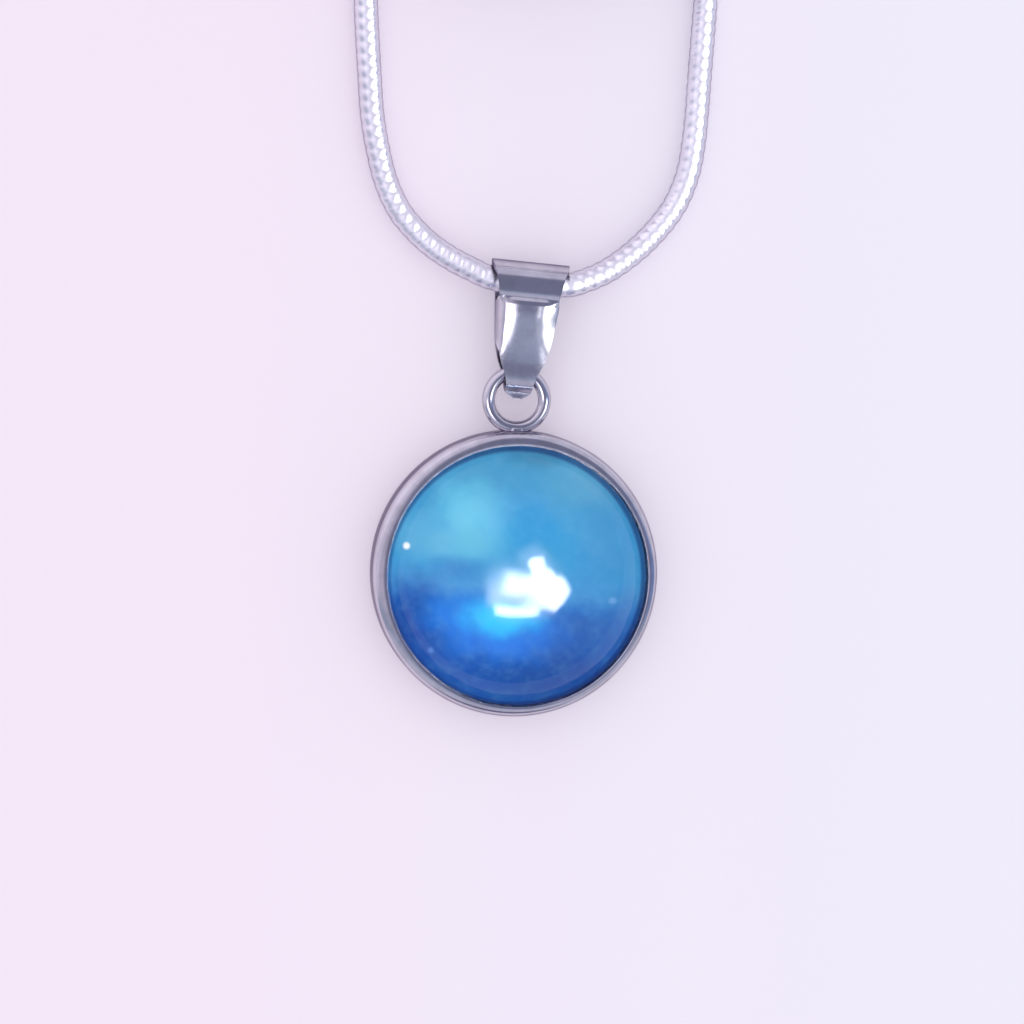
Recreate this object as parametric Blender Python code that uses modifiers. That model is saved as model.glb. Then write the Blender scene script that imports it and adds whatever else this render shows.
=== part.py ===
"""A pendant necklace that lies on a flat surface.

A round glass cabochon sits in a shallow metal cup. A ring soldered to the cup's edge hangs in a
folded bail, and the bail hangs on a round snake chain. Both halves of the chain are wound into one
neat coil, one above the other. One end of the chain carries a lobster clasp, the other a plain ring.

Frame: the origin is the middle of the cup's flat back, +Y runs up through the pendant's ring, and
+Z is out of the pendant's face. Everything lies on the plane z = 0. Lengths are in metres.
"""
from math import asin, cos, hypot, pi, radians, sin, sqrt

import bmesh
import bpy
from mathutils import Euler, Vector

MM = 0.001
WELD = 0.001 * MM
GAP = 0.04 * MM

# Cup and what it holds
CUP_RADIUS = 7.0 * MM
CUP_HEIGHT = 2.2 * MM
CUP_FLOOR = 0.5 * MM
CUP_BORE = 6.40 * MM
# The bore and what lies in it sit slightly off the cup's middle, so that the rim is uneven
BORE_CENTRE = Vector((0.12 * MM, -0.10 * MM, 0))
CUP_BACK_ROUNDING = 0.25 * MM
RIM_ROUNDING = 0.10 * MM
PAD_RADIUS = 6.0 * MM
PAD_THICKNESS = 0.10 * MM
FOIL_RADIUS = 6.25 * MM
FOIL_THICKNESS = 0.08 * MM
LAYER_GAP = 0.02 * MM
GLASS_RADIUS = 6.35 * MM
GLASS_GIRDLE = 1.6 * MM
GLASS_APEX = 5.0 * MM

# Ring soldered to the cup, and the height at which ring, bail and chain meet
LINK_HEIGHT = 1.28 * MM
RING_MAJOR = 1.37 * MM
RING_WIRE = 0.31 * MM
RING_CENTRE = Vector((0, 8.5 * MM, LINK_HEIGHT))

# Bail: a metal strip folded over the chain, leaning to the right of the pendant
BAIL_LEAN = radians(5.2)
BAIL_THICKNESS = 0.28 * MM
FOLD_RADIUS = 1.12 * MM
CHAIN_AT = 5.62 * MM
FOLD_AT = 5.51 * MM
FOLD_STEPS = 16
BAIL_COLUMNS = 6
# Distance above the ring's centre, and half the opening, from the tip up to the fold, in millimetres
BAIL_SIDE = [(0.10, 0.18), (0.30, 0.18), (0.48, 0.24), (0.62, 0.42), (0.80, 0.60), (1.10, 0.70),
             (1.90, 0.76), (2.70, 0.84), (3.50, 0.93), (4.50, 1.05)]
# Distance above the ring's centre, and half the strip's width, in millimetres
BAIL_WIDTHS = [(0.10, 0.42), (0.30, 0.58), (1.00, 0.70), (1.90, 1.05), (2.90, 1.28), (4.20, 1.40),
               (5.30, 1.50), (6.10, 1.68), (6.62, 1.88)]

# Snake chain
CHAIN_RADIUS = 0.6 * MM
TUBE_SPACING = 2.4 * MM
COIL_CENTRE = Vector((0.4 * MM, 38.3 * MM, 0))
COIL_TURN_RADIUS = 8.0 * MM
COIL_TURN_GAP = 1.3 * MM
COIL_LAYER_HEIGHT = 1.25 * MM
COIL_LAYERS = 4
COIL_INWARD_TURNS = 1.75
COIL_SLACK = 0.05 * MM

# The chain's way from the coil, through the bail and back, in millimetres
CHAIN_ROUTE = [
    (-7.62, 33.5, 0.60), (-7.62, 30.6, 0.60), (-7.57, 27.9, 0.60), (-7.48, 26.2, 0.60),
    (-7.34, 24.2, 0.60), (-7.20, 22.4, 0.60), (-6.93, 20.8, 0.60), (-6.52, 19.2, 0.60),
    (-5.89, 17.8, 0.62), (-5.10, 16.8, 0.66), (-4.20, 15.98, 0.76), (-3.20, 15.32, 0.92),
    (-2.30, 14.87, 1.10), (-1.365, 14.468, 1.24), (0.509, 14.097, 1.28), (2.419, 14.124, 1.24),
    (3.24, 14.33, 1.13), (4.42, 14.84, 0.93), (5.72, 15.76, 0.74), (6.88, 16.9, 0.64),
    (7.78, 18.15, 0.60), (8.35, 19.6, 0.60), (8.62, 21.1, 0.60), (8.77, 22.8, 0.60),
    (8.87, 24.5, 0.60), (9.00, 26.5, 0.60), (9.10, 28.3, 0.62), (9.08, 30.2, 0.92),
    (8.92, 32.0, 1.70), (8.70, 33.5, 2.36),
]
# The two ends, from the coil to the end caps
CLASP_TAIL_ROUTE = [
    (-7.85, 43.1, 1.78), (-8.05, 45.5, 1.42), (-8.25, 48.0, 0.92), (-8.40, 50.5, 0.66),
    (-8.50, 53.0, 0.61), (-8.55, 55.5, 0.76), (-8.55, 57.8, 0.94), (-8.55, 60.3, 0.95),
]
RING_TAIL_ROUTE = [
    (8.82, 42.9, 3.86), (9.08, 45.0, 3.02), (9.28, 47.3, 1.95), (9.40, 49.6, 1.08),
    (9.45, 51.8, 0.70), (9.45, 53.8, 0.68), (9.45, 55.9, 0.92), (9.45, 58.0, 1.10),
    (9.45, 60.3, 1.10),
]

# End caps
CAP_RADIUS = 0.9 * MM
CAP_BORE = 0.66 * MM
CAP_BORE_DEPTH = 2.6 * MM
CAP_LENGTH = 4.2 * MM
CAP_NECK = 0.45 * MM
CAP_NECK_LENGTH = 0.3 * MM
CAP_CHAMFER = (0.12 * MM, 0.2 * MM)
CAP_MOUTH_EDGE = (0.08 * MM, 0.1 * MM)
CAP_LOOP_MAJOR = 0.84 * MM
CAP_LOOP_WIRE = 0.26 * MM
CAP_LOOP_AT = 5.15 * MM
CLASP_CAP = Vector((-8.55 * MM, 58.0 * MM, 0.95 * MM))
RING_CAP = Vector((9.45 * MM, 58.0 * MM, 1.10 * MM))

# Rings at the chain's ends
JUMP_MAJOR = 1.15 * MM
JUMP_WIRE = 0.24 * MM
JUMP_TILT = radians(64)
JUMP_HEIGHT = 1.28 * MM
END_RING_MAJOR = 1.75 * MM
END_RING_WIRE = 0.30 * MM
LINK_PLAY = 0.06 * MM

# Lobster clasp, measured from the middle of its eye
CLASP_THICKNESS = 2.2 * MM
CLASP_EDGE = 0.30 * MM
EYE_MAJOR = 0.9 * MM
EYE_WIRE = 0.36 * MM
CLAW_CENTRE = (0.0, 5.6 * MM)
CLAW_SIZE = (2.35 * MM, 3.5 * MM)
NECK_HALF_WIDTH = 0.62 * MM
NECK_START = 0.72 * MM
NECK_JOIN_ANGLE = 48
MOUTH_CENTRE = (0.15 * MM, 6.1 * MM)
MOUTH_SIZE = (1.25 * MM, 1.9 * MM)
GATE_GAP = ((0.8 * MM, 4.35 * MM), (3.4 * MM, 6.9 * MM))
SLOT = ((-0.9 * MM, 2.1 * MM), (3.4 * MM, 4.6 * MM))
SLOT_HEIGHTS = (0.45 * MM, 1.75 * MM)
PIVOT = Vector((0.7 * MM, 3.2 * MM, 0))
PIN_RADIUS = 0.30 * MM
PIN_INSET = 0.03 * MM
LEVER_HEIGHTS = (0.50 * MM, 1.20 * MM)
LEVER_HUB = 0.62 * MM
SPRING_MAJOR = 0.47 * MM
SPRING_WIRE = 0.08 * MM
SPRING_START = 1.33 * MM
SPRING_RISE = 0.17 * MM
SPRING_TURNS = 1.9
SPRING_STEPS_PER_TURN = 14
SPRING_LEG = 0.8 * MM
# Lever's outline after its hub, in millimetres: the thumb tab, the gate, and the tongue behind the
# claw's tip
LEVER_OUTLINE = [
    (1.45, 3.30), (2.20, 3.62), (2.85, 3.80), (3.15, 4.05), (3.12, 4.38), (2.85, 4.55),
    (2.40, 4.62), (2.33, 5.20), (2.33, 5.90), (2.24, 6.50), (2.12, 6.78), (1.16, 6.80),
    (1.04, 7.18), (0.84, 7.22), (0.74, 6.95), (1.05, 6.40), (1.30, 5.80), (1.34, 5.20),
    (1.10, 4.55), (0.55, 4.00),
]


# ---------------------------------------------------------------- scene, materials and placing

def clear_scene():
    for thing in list(bpy.data.objects):
        bpy.data.objects.remove(thing)


def new_collection(name):
    collection = bpy.data.collections.new(name)
    bpy.context.scene.collection.children.link(collection)
    return collection


def material(name, colour, metallic, roughness, transmission=0.0):
    made = bpy.data.materials.new(name)
    made.use_nodes = True
    made.diffuse_color = (*colour, 1.0)
    shader = made.node_tree.nodes["Principled BSDF"]
    shader.inputs["Base Color"].default_value = (*colour, 1.0)
    shader.inputs["Metallic"].default_value = metallic
    shader.inputs["Roughness"].default_value = roughness
    shader.inputs["Transmission Weight"].default_value = transmission
    return made


def place(thing, collection, parent=None, location=(0, 0, 0), turn=(0, 0, 0)):
    """Put an object in a collection, at a place and turn measured from its parent."""
    for old in thing.users_collection:
        old.objects.unlink(thing)
    collection.objects.link(thing)
    thing.parent = parent
    thing.location = location
    thing.rotation_euler = Euler(turn)
    return thing


def axis_empty(name, collection, parent, location, turn=(0, 0, 0)):
    """An empty on a joint's axis. The pieces that move with the joint hang on it."""
    empty = bpy.data.objects.new(name, None)
    empty.empty_display_size = 1.5 * MM
    return place(empty, collection, parent, location, turn)


def finish(thing, name, finish_material):
    thing.name = name
    thing.data.name = name
    thing.data.materials.clear()
    thing.data.materials.append(finish_material)
    thing.data.shade_smooth()
    thing.data.set_sharp_from_angle(angle=radians(35))
    return thing


# ---------------------------------------------------------------- shapes

def turned(name, profile, steps=64):
    """A solid turned about Z. The profile holds (radius, height), down its outer side."""
    mesh = bpy.data.meshes.new(name)
    edges = [(i, i + 1) for i in range(len(profile) - 1)]
    mesh.from_pydata([(radius, 0, height) for radius, height in profile], edges, [])
    thing = bpy.data.objects.new(name, mesh)
    turn = thing.modifiers.new("turn", "SCREW")
    turn.axis = "Z"
    turn.angle = 2 * pi
    turn.steps = steps
    turn.render_steps = steps
    turn.use_merge_vertices = True
    turn.merge_threshold = WELD
    return thing


def disc(name, radius, low, high, steps=64):
    """A flat round solid about Z, between two heights."""
    return turned(name, [(0, high), (radius, high), (radius, low), (0, low)], steps)


def torus(name, major, wire, major_steps=40, wire_steps=12):
    """A round wire ring about Z."""
    bpy.ops.mesh.primitive_torus_add(
        major_radius=major, minor_radius=wire, major_segments=major_steps, minor_segments=wire_steps)
    thing = bpy.context.active_object
    thing.name = name
    return thing


def tube(name, points, radius):
    """A round wire along a list of points, with closed ends."""
    curve = bpy.data.curves.new(name, "CURVE")
    curve.dimensions = "3D"
    curve.bevel_depth = radius
    curve.bevel_resolution = 2
    curve.use_fill_caps = True
    spline = curve.splines.new("POLY")
    spline.points.add(len(points) - 1)
    for place_in_spline, point in zip(spline.points, points):
        place_in_spline.co = (*point, 1)
    return bpy.data.objects.new(name, curve)


def as_mesh(thing):
    """The evaluated object as a plain mesh object in the same place, with its caps welded."""
    if not thing.users_collection:
        bpy.context.scene.collection.objects.link(thing)
    bpy.context.view_layer.update()
    evaluated = thing.evaluated_get(bpy.context.evaluated_depsgraph_get())
    mesh = bpy.data.meshes.new_from_object(evaluated)
    work = bmesh.new()
    work.from_mesh(mesh)
    bmesh.ops.remove_doubles(work, verts=work.verts, dist=WELD)
    work.to_mesh(mesh)
    work.free()
    solid = bpy.data.objects.new(thing.name, mesh)
    solid.matrix_world = thing.matrix_world
    bpy.data.objects.remove(thing)
    return solid


def plate(name, outline, low, high, edge=0.0):
    """A flat piece of the outline's shape between two heights, with bevelled edges."""
    curve = bpy.data.curves.new(name, "CURVE")
    curve.dimensions = "2D"
    curve.fill_mode = "BOTH"
    curve.extrude = (high - low) / 2 - edge
    curve.bevel_depth = edge
    curve.bevel_resolution = 1
    curve.offset = -edge
    spline = curve.splines.new("POLY")
    spline.use_cyclic_u = True
    spline.points.add(len(outline) - 1)
    for place_in_spline, (x, y) in zip(spline.points, outline):
        place_in_spline.co = (x, y, 0, 1)
    solid = as_mesh(bpy.data.objects.new(name, curve))
    for vertex in solid.data.vertices:
        vertex.co.z += (low + high) / 2
    return solid


def box_outline(corners):
    (left, bottom), (right, top) = corners
    return [(left, bottom), (right, bottom), (right, top), (left, top)]


def ellipse(centre, size, start=0, end=360, steps=40):
    """Points on an ellipse, counter-clockwise between two angles in degrees."""
    whole = end - start == 360
    angles = [radians(start + (end - start) * i / steps) for i in range(steps + (not whole))]
    return [(centre[0] + size[0] * cos(a), centre[1] + size[1] * sin(a)) for a in angles]


def combine(thing, other, operation, cutters):
    """Cut or join an object with another one, which stays as a hidden helper."""
    place(other, cutters, other.parent, other.location, other.rotation_euler)
    other.display_type = "WIRE"
    other.hide_render = True
    modifier = thing.modifiers.new(operation.lower(), "BOOLEAN")
    modifier.operation = operation
    modifier.object = other
    return thing


def between(table, at):
    """Read a value off a table of (place, value) pairs by straight lines."""
    for (a, low), (b, high) in zip(table, table[1:]):
        if at <= b:
            return low + (high - low) * max(0.0, at - a) / (b - a)
    return table[-1][1]


# ---------------------------------------------------------------- chain

def smooth_route(route, spacing):
    """Points at an even spacing on a smooth curve through the route's points."""
    knots = [Vector(point) * MM for point in route]
    knots = [2 * knots[0] - knots[1], *knots, 2 * knots[-1] - knots[-2]]
    dense = []
    for a, b, c, d in zip(knots, knots[1:], knots[2:], knots[3:]):
        for i in range(24):
            t = i / 24
            dense.append(0.5 * (2 * b + (c - a) * t + (2 * a - 5 * b + 4 * c - d) * t * t
                                + (3 * b - a - 3 * c + d) * t * t * t))
    dense.append(knots[-2])
    return evenly_spaced(dense, spacing)


def evenly_spaced(points, spacing):
    lengths = [0.0]
    for a, b in zip(points, points[1:]):
        lengths.append(lengths[-1] + (b - a).length)
    count = max(2, round(lengths[-1] / spacing))
    spaced, at = [], 0
    for i in range(count + 1):
        target = lengths[-1] * i / count
        while at < len(points) - 2 and lengths[at + 1] < target:
            at += 1
        share = (target - lengths[at]) / (lengths[at + 1] - lengths[at])
        spaced.append(points[at].lerp(points[at + 1], min(1.0, share)))
    return spaced


def make_chain(parts, root, metal):
    """The chain's tubes, and the solid ring that stands for its coil."""
    for name, route in [("chain_loop", CHAIN_ROUTE), ("chain_tail_clasp", CLASP_TAIL_ROUTE),
                        ("chain_tail_ring", RING_TAIL_ROUTE)]:
        strand = tube(name, smooth_route(route, TUBE_SPACING), CHAIN_RADIUS)
        strand.data.materials.append(metal)
        place(strand, parts, root)

    outer = COIL_TURN_RADIUS + CHAIN_RADIUS + COIL_SLACK
    inner = COIL_TURN_RADIUS - COIL_INWARD_TURNS * COIL_TURN_GAP - CHAIN_RADIUS - COIL_SLACK
    top = (COIL_LAYERS - 1) * COIL_LAYER_HEIGHT + 2 * CHAIN_RADIUS + COIL_SLACK
    wall = [(inner, 0), (inner, top), (outer, top), (outer, 0), (inner, 0)]
    coil = finish(turned("chain_coil", wall, 72), "chain_coil", metal)
    place(coil, parts, root, COIL_CENTRE)


def make_end_cap(name, mouth, loop_upright, parts, cutters, root, metal):
    """A crimped tube over the chain's end, with a loop at its other end."""
    shoulder = CAP_LENGTH + CAP_RADIUS - CAP_NECK
    neck_end = shoulder + CAP_NECK_LENGTH
    profile = [(0, neck_end), (CAP_NECK, neck_end), (CAP_NECK, shoulder),
               (CAP_RADIUS - CAP_CHAMFER[0], CAP_LENGTH), (CAP_RADIUS, CAP_LENGTH - CAP_CHAMFER[1]),
               (CAP_RADIUS, CAP_MOUTH_EDGE[1]), (CAP_RADIUS - CAP_MOUTH_EDGE[0], 0), (CAP_BORE, 0),
               (CAP_BORE, CAP_BORE_DEPTH), (0, CAP_BORE_DEPTH)]
    barrel = finish(turned(name, profile, 32), name, metal)
    place(barrel, parts, root, mouth, (-pi / 2, 0, 0))

    loop = torus(name + "_loop", CAP_LOOP_MAJOR, CAP_LOOP_WIRE, 28, 12)
    turn = (0, pi / 2, 0) if loop_upright else (0, 0, 0)
    place(loop, cutters, root, mouth + Vector((0, CAP_LOOP_AT, 0)), turn)
    combine(barrel, loop, "UNION", cutters)


# ---------------------------------------------------------------- pendant and bail

def make_pendant(parts, cutters, axis, metal, glass, foil, adhesive):
    """The cup with the glass, its coloured foil and the adhesive, and the ring on its edge."""
    home = -axis.matrix_world.translation
    back, rim = CUP_BACK_ROUNDING, RIM_ROUNDING
    turn = 2 * rim
    rim_arc = [(CUP_RADIUS - turn + turn * sin(radians(a)), CUP_HEIGHT - turn * (1 - cos(radians(a))))
               for a in (0, 30, 60, 90)]
    profile = [(0, CUP_FLOOR), (CUP_BORE, CUP_FLOOR), (CUP_BORE, CUP_HEIGHT - rim),
               (CUP_BORE + rim, CUP_HEIGHT), *rim_arc, (CUP_RADIUS, back),
               (CUP_RADIUS - back * 0.3, back * 0.3), (CUP_RADIUS - back, 0), (0, 0)]
    cup = as_mesh(turned("bezel_cup", profile, 72))
    for vertex in cup.data.vertices:
        x, y, z = vertex.co
        if CUP_BORE - GAP < hypot(x, y) < CUP_BORE + 2 * rim and z > CUP_FLOOR - GAP:
            vertex.co += BORE_CENTRE
    place(finish(cup, "bezel_cup", metal), parts, axis, home)

    pad_low = CUP_FLOOR + LAYER_GAP
    pad_high = pad_low + PAD_THICKNESS
    pad = finish(disc("adhesive_pad", PAD_RADIUS, pad_low, pad_high), "adhesive_pad", adhesive)
    place(pad, parts, axis, home + BORE_CENTRE)

    foil_low = pad_high + LAYER_GAP
    foil_high = foil_low + FOIL_THICKNESS
    sheet = finish(disc("colour_foil", FOIL_RADIUS, foil_low, foil_high), "colour_foil", foil)
    place(sheet, parts, axis, home + BORE_CENTRE)

    glass_low = foil_high + LAYER_GAP
    rise = GLASS_APEX - GLASS_GIRDLE
    sphere = (GLASS_RADIUS ** 2 + rise ** 2) / (2 * rise)
    edge_angle = asin(GLASS_RADIUS / sphere)
    dome = [(sphere * sin(edge_angle * i / 12), GLASS_APEX - sphere * (1 - cos(edge_angle * i / 12)))
            for i in range(13)]
    stone = turned("glass_cabochon", [*dome, (GLASS_RADIUS, glass_low), (0, glass_low)], 72)
    place(finish(stone, "glass_cabochon", glass), parts, axis, home + BORE_CENTRE)

    ring = finish(torus("pendant_ring", RING_MAJOR, RING_WIRE, 48, 14), "pendant_ring", metal)
    place(ring, parts, axis, home + RING_CENTRE)
    foot_cut = disc("pendant_ring_foot_cut", CUP_RADIUS + GAP, -CUP_HEIGHT, 2 * CUP_HEIGHT, 144)
    place(foot_cut, cutters, axis, home)
    combine(ring, foot_cut, "DIFFERENCE", cutters)


def bail_stations():
    """Places along the folded strip: height above the ring's centre, and depth from its middle."""
    front = [(height * MM, opening * MM) for height, opening in BAIL_SIDE]
    fold = [(FOLD_AT + FOLD_RADIUS * sin(pi * i / FOLD_STEPS), FOLD_RADIUS * cos(pi * i / FOLD_STEPS))
            for i in range(FOLD_STEPS + 1)]
    back = [(height, -depth) for height, depth in reversed(front)]
    return front + fold + back


def make_bail(parts, axis, metal):
    """The folded strip, whose two tips meet inside the pendant's ring."""
    stations = bail_stations()
    work = bmesh.new()
    bmesh.ops.create_grid(work, x_segments=BAIL_COLUMNS, y_segments=len(stations) - 1, size=1)
    for vertex in work.verts:
        height, depth = stations[round((vertex.co.y + 1) / 2 * (len(stations) - 1))]
        half_width = between(BAIL_WIDTHS, height / MM) * MM
        vertex.co = (vertex.co.x * half_width, height - CHAIN_AT, depth)
    mesh = bpy.data.meshes.new("bail")
    work.to_mesh(mesh)
    work.free()
    strip = bpy.data.objects.new("bail", mesh)
    shell = strip.modifiers.new("thickness", "SOLIDIFY")
    shell.thickness = BAIL_THICKNESS
    shell.offset = 0
    shell.use_even_offset = True
    place(finish(strip, "bail", metal), parts, axis)


# ---------------------------------------------------------------- clasp and end ring

def claw_outline():
    """A rounded claw that narrows to the neck above the eye."""
    start = -90 + NECK_JOIN_ANGLE
    claw = ellipse(CLAW_CENTRE, CLAW_SIZE, start, 180 - start, 44)
    return [*claw, (-NECK_HALF_WIDTH, NECK_START), (NECK_HALF_WIDTH, NECK_START)]


def make_clasp(parts, cutters, axis, eye, metal, spring_metal):
    """The clasp's body, pivot pin and spring. eye is the middle of its eye, from the axis."""
    base = eye - Vector((0, 0, CLASP_THICKNESS / 2))
    body = finish(plate("clasp_body", claw_outline(), 0, CLASP_THICKNESS, CLASP_EDGE), "clasp_body", metal)
    place(body, parts, axis, base)

    ring = torus("clasp_eye", EYE_MAJOR, EYE_WIRE, 32, 12)
    place(ring, cutters, axis, eye)
    combine(body, ring, "UNION", cutters)

    through = (-CLASP_THICKNESS, 2 * CLASP_THICKNESS)
    cuts = [plate("clasp_mouth_cut", ellipse(MOUTH_CENTRE, MOUTH_SIZE), *through),
            plate("clasp_gate_cut", box_outline(GATE_GAP), *through),
            plate("clasp_slot_cut", box_outline(SLOT), *SLOT_HEIGHTS),
            plate("clasp_pin_cut", ellipse(PIVOT.xy, [PIN_RADIUS + GAP] * 2, steps=24), *through)]
    for cut in cuts:
        place(cut, cutters, axis, base)
        combine(body, cut, "DIFFERENCE", cutters)

    pin = disc("clasp_pin", PIN_RADIUS, PIN_INSET, CLASP_THICKNESS - PIN_INSET, 24)
    place(finish(pin, "clasp_pin", metal), parts, axis, base + PIVOT)

    spring = tube("clasp_spring", spring_points(), SPRING_WIRE)
    spring.data.materials.append(spring_metal)
    place(spring, parts, axis, base + PIVOT)
    return base


def spring_points():
    """A small coil about the pivot pin, with a straight leg at each end."""
    steps = round(SPRING_TURNS * SPRING_STEPS_PER_TURN)
    turns = []
    for i in range(steps + 1):
        angle = 2 * pi * SPRING_TURNS * i / steps
        height = SPRING_START + SPRING_RISE * SPRING_TURNS * i / steps
        turns.append(Vector((SPRING_MAJOR * cos(angle), SPRING_MAJOR * sin(angle), height)))
    first_leg = turns[0] + SPRING_LEG * (turns[0] - turns[1]).normalized()
    last_leg = turns[-1] + SPRING_LEG * (turns[-1] - turns[-2]).normalized()
    return [first_leg, *turns, last_leg]


def reach_inside_jump_ring(wire, offset):
    """How far from the jump ring's middle a crossing wire lies, when it is that much lower."""
    room = JUMP_MAJOR - JUMP_WIRE - wire - LINK_PLAY
    return sqrt(room ** 2 - (offset / sin(JUMP_TILT)) ** 2)


def make_lever(parts, cutters, axis, metal):
    """The gate lever, which turns about the pivot pin."""
    hub = ellipse(PIVOT.xy, (LEVER_HUB, LEVER_HUB), 110, 330, 20)
    outline = [(x - PIVOT.x, y - PIVOT.y) for x, y in hub]
    outline += [(x * MM - PIVOT.x, y * MM - PIVOT.y) for x, y in LEVER_OUTLINE]
    lever = finish(plate("clasp_lever", outline, *LEVER_HEIGHTS), "clasp_lever", metal)
    place(lever, parts, axis)
    hole = disc("clasp_lever_hole", PIN_RADIUS + GAP, -CLASP_THICKNESS, 2 * CLASP_THICKNESS, 24)
    place(hole, cutters, axis)
    combine(lever, hole, "DIFFERENCE", cutters)


def make_necklace():
    clear_scene()
    parts = new_collection("pendant_necklace")
    cutters = new_collection("cutters")

    steel = material("polished_metal", (0.66, 0.64, 0.70), 1.0, 0.22)
    spring_steel = material("spring_steel", (0.42, 0.42, 0.46), 1.0, 0.35)
    glass = material("blue_glass", (0.10, 0.45, 0.80), 0.0, 0.03, 0.3)
    foil = material("blue_foil", (0.05, 0.36, 0.74), 0.2, 0.25)
    adhesive = material("adhesive", (0.78, 0.80, 0.84), 0.0, 0.45)

    root = axis_empty("necklace", parts, None, (0, 0, 0))
    make_chain(parts, root, steel)
    make_end_cap("end_cap_clasp", CLASP_CAP, False, parts, cutters, root, steel)
    make_end_cap("end_cap_ring", RING_CAP, True, parts, cutters, root, steel)

    lean_way = Vector((sin(BAIL_LEAN), cos(BAIL_LEAN), 0))
    bail_axis = axis_empty("bail_axis", parts, root, RING_CENTRE + CHAIN_AT * lean_way, (0, 0, -BAIL_LEAN))
    make_bail(parts, bail_axis, steel)
    pendant_axis = axis_empty(
        "pendant_axis", parts, bail_axis, (0, RING_MAJOR - CHAIN_AT, 0), (0, 0, BAIL_LEAN))
    bpy.context.view_layer.update()
    make_pendant(parts, cutters, pendant_axis, steel, glass, foil, adhesive)

    # The jump ring turns about the far side of the cap's loop, and the clasp about its eye's near side
    loop_far_side = CLASP_CAP + Vector((0, CAP_LOOP_AT + CAP_LOOP_MAJOR, 0))
    jump_axis = axis_empty("clasp_ring_axis", parts, root, loop_far_side)
    rise = JUMP_HEIGHT - CLASP_CAP.z
    jump_centre = Vector((0, reach_inside_jump_ring(CAP_LOOP_WIRE, rise), rise))
    jump = finish(torus("clasp_jump_ring", JUMP_MAJOR, JUMP_WIRE, 40, 12), "clasp_jump_ring", steel)
    place(jump, parts, jump_axis, jump_centre, (0, JUMP_TILT, 0))

    drop = JUMP_HEIGHT - CLASP_THICKNESS / 2
    eye_near_side = jump_centre + Vector((0, reach_inside_jump_ring(EYE_WIRE, drop), -drop))
    clasp_axis = axis_empty("clasp_axis", parts, jump_axis, eye_near_side)
    eye = Vector((0, EYE_MAJOR, 0))
    clasp_base = make_clasp(parts, cutters, clasp_axis, eye, steel, spring_steel)
    lever_axis = axis_empty("clasp_lever_axis", parts, clasp_axis, clasp_base + PIVOT)
    make_lever(parts, cutters, lever_axis, steel)

    # The end ring turns about the middle of the other cap's loop and leans down to the surface
    end_axis = axis_empty("end_ring_axis", parts, root, RING_CAP + Vector((0, CAP_LOOP_AT, 0)))
    lean = asin((RING_CAP.z - END_RING_WIRE) / (2 * END_RING_MAJOR))
    near_side = CAP_LOOP_MAJOR - CAP_LOOP_WIRE - END_RING_WIRE - LINK_PLAY
    centre = Vector((0, near_side + END_RING_MAJOR * cos(lean), -END_RING_MAJOR * sin(lean)))
    end_ring = finish(torus("end_ring", END_RING_MAJOR, END_RING_WIRE, 48, 12), "end_ring", steel)
    place(end_ring, parts, end_axis, centre, (-lean, 0, 0))
    bpy.context.view_layer.update()


make_necklace()
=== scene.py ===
"""The looks of a pendant necklace: a glass cabochon in a metal cup, on a snake chain with a lobster clasp.

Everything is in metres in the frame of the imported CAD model: the origin is the middle of the cup's
flat back, +Y runs up through the pendant's ring and +Z is out of its face.
"""
from math import asin, atan2, cos, exp, pi, radians, sin, sqrt, tan

import bmesh
import bpy
from mathutils import Euler, Matrix, Vector


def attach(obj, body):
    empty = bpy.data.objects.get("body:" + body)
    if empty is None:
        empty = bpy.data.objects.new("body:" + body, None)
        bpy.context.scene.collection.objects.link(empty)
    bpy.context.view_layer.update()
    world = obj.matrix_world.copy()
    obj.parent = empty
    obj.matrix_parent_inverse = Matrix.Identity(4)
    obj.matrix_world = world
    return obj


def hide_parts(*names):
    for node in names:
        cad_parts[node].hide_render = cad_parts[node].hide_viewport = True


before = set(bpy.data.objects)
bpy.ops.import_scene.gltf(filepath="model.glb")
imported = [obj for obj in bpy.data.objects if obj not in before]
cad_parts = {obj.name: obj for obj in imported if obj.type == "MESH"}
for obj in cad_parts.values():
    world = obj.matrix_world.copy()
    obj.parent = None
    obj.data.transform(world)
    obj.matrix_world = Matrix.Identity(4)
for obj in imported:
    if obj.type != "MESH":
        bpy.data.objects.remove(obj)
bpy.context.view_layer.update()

MM = 0.001

# ---------------------------------------------------------------- sizes, as in the CAD model

CUP_RADIUS = 7.0 * MM
CUP_HEIGHT = 2.2 * MM
CUP_FLOOR = 0.5 * MM
CUP_BORE = 6.40 * MM
BORE_CENTRE = Vector((0.12 * MM, -0.10 * MM, 0))
FOIL_RADIUS = 6.25 * MM
FOIL_LOW = 0.64 * MM
FOIL_HIGH = 0.72 * MM
GLASS_RADIUS = 6.35 * MM
GLASS_GIRDLE = 1.6 * MM
GLASS_APEX = 5.0 * MM

LINK_HEIGHT = 1.28 * MM
RING_MAJOR = 1.37 * MM
RING_WIRE = 0.31 * MM
RING_CENTRE = Vector((0, 8.5 * MM, LINK_HEIGHT))

BAIL_LEAN = radians(5.2)
BAIL_THICKNESS = 0.28 * MM
FOLD_RADIUS = 1.12 * MM
FOLD_AT = 5.51 * MM
# Height above the ring's centre, and half the opening, from the tip up to the fold, in millimetres
BAIL_SIDE = [(0.10, 0.18), (0.30, 0.18), (0.48, 0.24), (0.62, 0.42), (0.80, 0.60), (1.10, 0.70),
             (1.90, 0.76), (2.70, 0.84), (3.50, 0.93), (4.50, 1.05)]
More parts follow.
